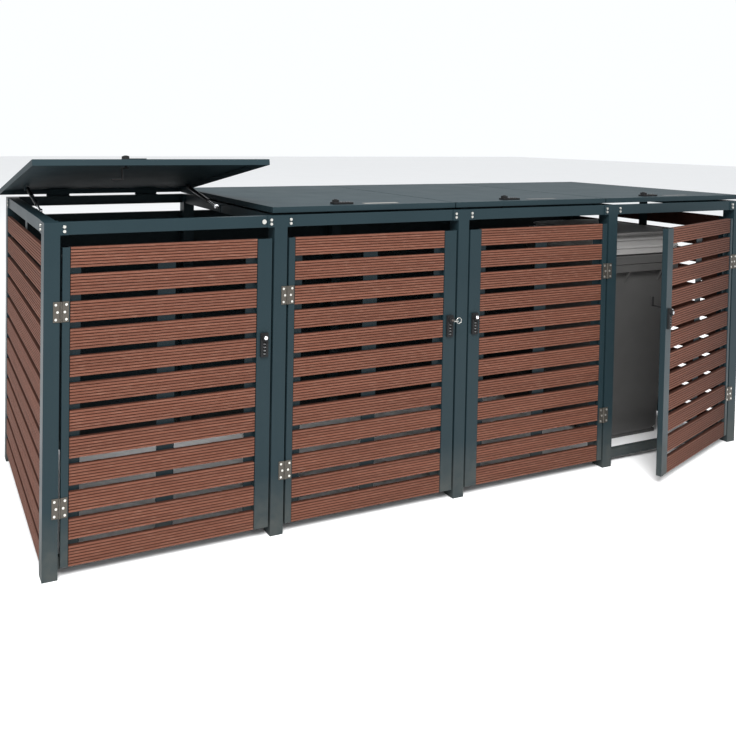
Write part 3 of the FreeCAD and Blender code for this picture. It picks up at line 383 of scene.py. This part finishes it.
def rounded_outline(half_x, half_y, radius, height, centre_y=0.0, steps=7):
    """Points of a rectangle with round corners, at one height."""
    points = []
    for quarter, (sx, sy) in enumerate(((1, 1), (-1, 1), (-1, -1), (1, -1))):
        for step in range(steps + 1):
            angle = math.pi / 2 * (quarter + step / steps)
            points.append(Vector((
                sx * (half_x - radius) + radius * math.cos(angle),
                centre_y + sy * (half_y - radius) + radius * math.sin(angle), height)))
    return points


def skin(work, lower, upper):
    """Faces between two closed rows of vertices."""
    count = len(lower)
    for k in range(count):
        after = (k + 1) % count
        work.faces.new((lower[k], lower[after], upper[after], upper[k]))


def loft(work, outlines, close_first=True, close_last=True):
    """Skins outlines that have the same number of points, and returns their vertices."""
    rows = [[work.verts.new(point) for point in outline] for outline in outlines]
    for lower, upper in zip(rows, rows[1:]):
        skin(work, lower, upper)
    if close_first:
        work.faces.new(list(reversed(rows[0])))
    if close_last:
        work.faces.new(rows[-1])
    return rows


def ring(work, centre, profile, sides):
    """A turned shape about +Z from a profile of (radius, height) pairs."""
    angles = [math.tau * k / sides for k in range(sides)]
    loft(work, [[Vector((centre[0] + radius * math.cos(angle),
                         centre[1] + radius * math.sin(angle),
                         centre[2] + height)) for angle in angles]
                for radius, height in profile])


def cross_ring(work, centre, profile, sides):
    """The same shape turned about +X."""
    quarter = Matrix.Rotation(math.radians(90), 3, "Y")
    before = set(work.verts)
    ring(work, (0, 0, 0), profile, sides)
    for vertex in set(work.verts) - before:
        vertex.co = quarter @ vertex.co + Vector(centre)


def lock_axes(name):
    """Axes of a lock: x from the knob to the number wheels, z out of the face."""
    joint = JOINTS[name + "_lock_turn"]
    centre = Vector(joint["pos_m"])
    out = Vector(joint["axis"]).normalized()
    if name.startswith("door"):
        if out.y > 0:
            out = -out
        along = Vector((0, 0, -1))
    else:
        along = Vector((1, 0, 0))
    across = out.cross(along)
    axes = Matrix((along, across, out)).transposed().to_4x4()
    return Matrix.Translation(centre) @ axes


LOCK_FACE = 0.007
KNOB_TOP = 0.0173
BEZEL = ((0.0135, -0.001), (0.0135, 0.0002), (0.0128, 0.0008),
         (0.0118, 0.0008), (0.0118, 0.0001), (0.0112, -0.001))
BARREL = ((0.0066, -0.001), (0.0066, 0.0004), (0.0060, 0.0009), (0.0050, 0.0010), (0.0044, 0.0003))
KEY_SLOT = (0.0038, 0.0006, 0.00055)
GRIP_RIBS = 18
GRIP_RADIUS = 0.0118
GRIP_RIB = ((0.0009, LOCK_FACE + 0.0012), (0.0009, KNOB_TOP - 0.0024), (0.0004, KNOB_TOP - 0.0016))
WHEELS = 4
FIRST_WHEEL = 0.023
WHEEL_PITCH = 0.0115
WHEEL_HEIGHT = 0.0046
WHEEL_RADIUS = 0.0044
MARKS = 10
MARK_SIZE = (0.0032, 0.0007, 0.0003)


def dress_lock(name):
    """Key barrel and grip ribs on the knob, a bezel under it, and marked number wheels."""
    place = lock_axes(name)

    def bezel(work):
        ring(work, (0, 0, LOCK_FACE), BEZEL, 48)

    def key_barrel(work):
        ring(work, (0, 0, KNOB_TOP), BARREL, 36)

    def key_slot(work):
        length, width, rise = KEY_SLOT
        block(work, (-length, -width, KNOB_TOP), (length, width, KNOB_TOP + rise))

    def grip_ribs(work):
        for k in range(GRIP_RIBS):
            angle = math.tau * k / GRIP_RIBS
            ring(work, (GRIP_RADIUS * math.cos(angle), GRIP_RADIUS * math.sin(angle), 0), GRIP_RIB, 8)

    def wheel_marks(work):
        for wheel in range(WHEELS):
            for k in range(MARKS):
                angle = math.tau * k / MARKS
                centre = Vector((FIRST_WHEEL + wheel * WHEEL_PITCH, WHEEL_RADIUS * math.sin(angle),
                                 WHEEL_HEIGHT + WHEEL_RADIUS * math.cos(angle)))
                tilt = Matrix.Rotation(-angle, 4, "X")
                for vertex in bmesh.ops.create_cube(work, size=1.0)["verts"]:
                    flat = Vector(vertex.co[axis] * MARK_SIZE[axis] for axis in range(3))
                    vertex.co = tilt @ flat + centre

    solid(name + "_lock_bezel", bezel, LOCK_BLACK, name, place)
    solid(name + "_lock_grip", grip_ribs, LOCK_BLACK, name + "_lock", place)
    if name != "door_2":
        metal = ROD_CHROME if name.startswith("door") else LOCK_BLACK
        solid(name + "_lock_barrel", key_barrel, metal, name + "_lock", place)
        solid(name + "_lock_slot", key_slot, LOCK_BLACK, name + "_lock", place)
    solid(name + "_wheel_marks", wheel_marks, MARK, name + "_dials", place)


LABEL_HALF = (0.075, 0.013)
LABEL_CORNER = 0.003
LABEL_THICKNESS = 0.0008
LABEL_FROM_LOCK = 0.196


def dress_lid(bay):
    """Blank label plate beside the lock."""

    def plate(work):
        shift = Vector((LABEL_FROM_LOCK, 0.0, 0.0))
        loft(work, [[point + shift for point in rounded_outline(*LABEL_HALF, LABEL_CORNER, height)]
                    for height in (0.0, LABEL_THICKNESS)])

    solid(f"lid_{bay}_label_plate", plate, LABEL if bay <= 2 else DARK_LABEL, f"lid_{bay}",
          lock_axes(f"lid_{bay}"))


# Sizes of the wheeled bin. A tub outline is given at a share of the tub's height, a rim outline
# by how far it lies out past the walls, its corner radius and how far it lies below the rim's
# top, and a lid outline by its inset, its height over the rim and its corner radius.
RIM_BELOW_HINGE = 0.014
RIM_BAND = 0.010
RIM_LENGTH = 0.490
TUB_FOOT = 0.012
TUB_HEIGHT = 0.858
TUB_HALF_FOOT = 0.190
TUB_FLARE = 0.050
TUB_LEAN = 0.045
TUB_CORNER = 0.055
TUB_TAPER = 0.013
TUB_WALL = 0.004
RIM = ((0.006, 0.058, 0.0755), (0.0065, 0.058, 0.043), (0.005, 0.056, 0.041), (0.010, 0.060, 0.038),
       (0.010, 0.060, 0.004), (0.007, 0.058, 0.0002), (-0.002, 0.052, 0.0002))
AXLE_HEIGHT = 0.1
GUSSETS = (-0.190, -0.105, 0.105, 0.190)
GUSSET_HALF = 0.003
GRIP_BAR = ((0.010, -0.18), (0.012, -0.178), (0.012, 0.178), (0.010, 0.18))
LID_HALF = 0.2475
LID_OVER_RIM = 0.0004
LID_OUTSIDE = ((0.014, 0.0, 0.055), (0.014, 0.0045, 0.055), (0.004, 0.0055, 0.060),
               (0.004, 0.031, 0.060), (0.0, 0.033, 0.062), (0.0, 0.037, 0.062),
               (0.003, 0.040, 0.060), (0.006, 0.046, 0.058), (0.007, 0.066, 0.058),
               (0.0015, 0.069, 0.062), (0.001, 0.074, 0.062), (0.004, 0.079, 0.060),
               (0.014, 0.082, 0.070), (0.026, 0.083, 0.085), (0.024, 0.085, 0.085),
               (0.012, 0.100, 0.085), (0.011, 0.1025, 0.085), (0.016, 0.1055, 0.085),
               (0.06, 0.1065, 0.085), (0.16, 0.108, 0.06))
LID_INSIDE = ((0.155, 0.1045, 0.06), (0.06, 0.103, 0.08), (0.034, 0.101, 0.08),
              (0.031, 0.083, 0.08), (0.030, 0.078, 0.075), (0.013, 0.0755, 0.06),
              (0.0115, 0.066, 0.055), (0.011, 0.046, 0.055), (0.0085, 0.036, 0.055),
              (0.0085, 0.010, 0.055), (0.0185, 0.009, 0.05), (0.0185, 0.0, 0.05))
LID_ARM = 0.12
LID_ARM_HALF = 0.012
LID_EYE = ((0.0122, -0.012), (0.016, -0.012), (0.016, 0.012), (0.0122, 0.012))
HUB = ((0.070, -0.004), (0.070, -0.0006), (0.066, -0.0004),
       (0.030, -0.0012), (0.024, -0.0008), (0.022, -0.0005))


def level(half_x, front, rear, radius, height):
    """Level outline between a front and a rear."""
    return rounded_outline(half_x, (rear - front) / 2, radius, height, (front + rear) / 2)


def mirrored(near, far):
    """The two ranges of x from near to far, on the left and on the right."""
    return ((-far, -near), (near, far))


def dress_bin():
    """Moulded tub with rounded corners, ribs under its rim, and a stepped lid."""
    low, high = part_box("bin_body")
    lid_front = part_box("bin_lid")[0].y
    hinge = Vector(JOINTS["bin_lid_hinge"]["pos_m"])
    axle_y = JOINTS["bin_wheels_roll"]["pos_m"][1]
    rim_top = hinge.z - RIM_BELOW_HINGE
    rim_front = low.y + RIM_BAND
    rim_rear = rim_front + RIM_LENGTH
    place = Matrix.Translation(((low.x + high.x) / 2, 0, 0))

    def tub_outline(share, inset):
        lean = TUB_LEAN * (1 - share)
        return level(TUB_HALF_FOOT + TUB_FLARE * share - inset, rim_front + lean + inset,
                     rim_rear - lean - inset, TUB_CORNER - inset, TUB_FOOT + TUB_HEIGHT * share)

    def tub(work):
        outlines = [level(0.150, rim_front + 0.085, rim_rear - 0.085, 0.03, TUB_FOOT),
                    level(0.178, rim_front + 0.057, rim_rear - 0.057, 0.05, 0.018)]
        outlines += [tub_outline(share, TUB_TAPER * share)
                     for share in (0.03, 0.2, 0.4, 0.6, 0.8, 0.905)]
        outlines += [level(TUB_HALF_FOOT + TUB_FLARE + out, rim_front - out, rim_rear + out, radius,
                           rim_top - below) for out, radius, below in RIM]
        outlines += [tub_outline(share, TUB_WALL + TUB_TAPER * share)
                     for share in (0.91, 0.6, 0.3, 0.03)]
        loft(work, outlines)

    def gussets(work):
        """Triangular webs under the rim, square to the front wall."""
        wall, top = rim_front + 0.019, rim_top - 0.074
        corners = ((wall, top), (wall - 0.0285, top), (wall, top - 0.060))
        for x in GUSSETS:
            loft(work, [[Vector((x + side * GUSSET_HALF, y, z)) for y, z in corners]
                        for side in (-1, 1)])

    def fittings(work):
        """Axle lugs and the ledges over the axle, the grip bar's lugs, and a foot at the front."""
        for left, right in mirrored(0.135, 0.165):
            block(work, (left, 0.112, AXLE_HEIGHT - 0.025),
                  (right, axle_y - 0.011, AXLE_HEIGHT + 0.025))
            block(work, (left, axle_y - 0.011, AXLE_HEIGHT + 0.0105),
                  (right, axle_y + 0.02, AXLE_HEIGHT + 0.022))
        for left, right in mirrored(0.172, 0.188):
            block(work, (left, rim_rear + 0.008, rim_top - 0.025),
                  (right, rim_rear + 0.049, rim_top + 0.031))
        block(work, (-0.17, rim_front + 0.06, 0.0), (0.17, rim_front + 0.10, 0.016))

    def grip(work):
        cross_ring(work, (0, hinge.y, hinge.z), GRIP_BAR, 32)

    def lid_outlines(profile):
        return [level(LID_HALF - inset, lid_front + 0.0005 + inset, rim_rear + 0.0055 - inset,
                      radius, rim_top + LID_OVER_RIM + height) for inset, height, radius in profile]

    def cover(work):
        outside = loft(work, lid_outlines(LID_OUTSIDE), close_first=False)
        inside = loft(work, lid_outlines(LID_INSIDE), close_last=False)
        skin(work, inside[-1], outside[0])

    def cover_arms(work):
        for x in (-LID_ARM, LID_ARM):
            block(work, (x - LID_ARM_HALF, rim_rear - 0.004, hinge.z - 0.006),
                  (x + LID_ARM_HALF, hinge.y - 0.0125, hinge.z + 0.006))
            cross_ring(work, (x, hinge.y, hinge.z), LID_EYE, 32)

    shell = solid("bin_tub_shell", tub, BIN_GREY, "enclosure", place, 0.0015)
    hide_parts("bin_body")
    solid("bin_rim_ribs", gussets, BIN_GREY, "enclosure", place, 0.0006)
    solid("bin_tub_fittings", fittings, BIN_GREY, "enclosure", place, 0.002)
    solid("bin_grip_bar", grip, BIN_GREY, "enclosure", place)
    shell = solid("bin_lid_shell", cover, LID_GREY, "bin_lid", place, 0.0012)
    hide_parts("bin_lid")
    solid("bin_lid_arms", cover_arms, LID_GREY, "bin_lid", place)


def dress_wheels():
    """Grey hubs on the bin's wheels."""
    low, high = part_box("bin_wheels")
    centre = Vector(JOINTS["bin_wheels_roll"]["pos_m"])

    def hub(work):
        ring(work, (0, 0, 0), HUB, 48)

    for side, edge in ((-1, low.x), (1, high.x)):
        turn = Matrix.Rotation(math.radians(90) * side, 4, "Y")
        place = Matrix.Translation((edge, centre.y, centre.z)) @ turn
        solid(f"bin_wheel_hub_{side + 1}", hub, BIN_GREY, "bin_wheels", place)


# Room, light and camera -----------------------------------------------------------------


FLOOR_HALF = 40.0
CAMERA_PLACE = (-1.988, -2.756, 1.401)
CAMERA_YAW, CAMERA_PITCH, CAMERA_ROLL = 0.372, -0.026, 0.013
CAMERA_LENS = 36.22
CAMERA_SHIFT = (0.230, -0.292)


def pale_floor():
    mesh = bpy.data.meshes.new("floor")
    work = bmesh.new()
    bmesh.ops.create_grid(work, x_segments=1, y_segments=1, size=FLOOR_HALF)
    work.to_mesh(mesh)
    work.free()
    floor = bpy.data.objects.new("floor", mesh)
    bpy.context.scene.collection.objects.link(floor)
    paint = Paint("pale_floor", "floor")
    cloud = paint.noise(paint.place(), 1.2)
    paint.plug(paint.surface["Base Color"],
               paint.blend(cloud, (0.80, 0.80, 0.80, 1), (0.84, 0.84, 0.84, 1)))
    paint.surface["Roughness"].default_value = 0.85
    mesh.materials.append(paint.material)


def softbox(name, where, target, size, power):
    light = bpy.data.lights.new(name, "AREA")
    light.shape = "RECTANGLE"
    light.size, light.size_y = size
    light.energy = power
    lamp = bpy.data.objects.new(name, light)
    lamp.location = where
    lamp.rotation_euler = (Vector(target) - Vector(where)).to_track_quat("-Z", "Y").to_euler()
    bpy.context.scene.collection.objects.link(lamp)


def studio():
    bpy.context.scene.view_settings.view_transform = "Standard"
    world = bpy.data.worlds.new("studio")
    bpy.context.scene.world = world
    world.use_nodes = True
    sky = world.node_tree.nodes["Background"].inputs
    sky["Color"].default_value = (0.96, 0.98, 1.0, 1)
    sky["Strength"].default_value = 1.02
    softbox("key_softbox", (-3.0, -4.6, 6.2), (0, 0, 0.6), (4.0, 3.0), 950)
    softbox("top_softbox", (0.5, -1.0, 5.5), (0, 0, 0.8), (6.0, 4.0), 240)


def camera():
    """Stands in front of the left end at about head height, turned to the right."""
    level_part = math.cos(CAMERA_PITCH)
    forward = Vector((math.sin(CAMERA_YAW) * level_part, math.cos(CAMERA_YAW) * level_part,
                      math.sin(CAMERA_PITCH)))
    right = Vector((math.cos(CAMERA_YAW), -math.sin(CAMERA_YAW), 0))
    up = right.cross(forward)
    tilted_right = math.cos(CAMERA_ROLL) * right + math.sin(CAMERA_ROLL) * up
    tilted_up = math.cos(CAMERA_ROLL) * up - math.sin(CAMERA_ROLL) * right
    data = bpy.data.cameras.new("camera")
    data.lens = CAMERA_LENS
    data.shift_x, data.shift_y = CAMERA_SHIFT
    view = bpy.data.objects.new("camera", data)
    axes = Matrix((tilted_right, tilted_up, -forward)).transposed().to_4x4()
    view.matrix_world = Matrix.Translation(CAMERA_PLACE) @ axes
    bpy.context.scene.collection.objects.link(view)
    bpy.context.scene.camera = view


dress_cad()
for bay in range(1, BAYS + 1):
    dress_lock(f"door_{bay}")
    dress_lock(f"lid_{bay}")
    dress_lid(bay)
dress_bin()
dress_wheels()
pale_floor()
studio()
camera()
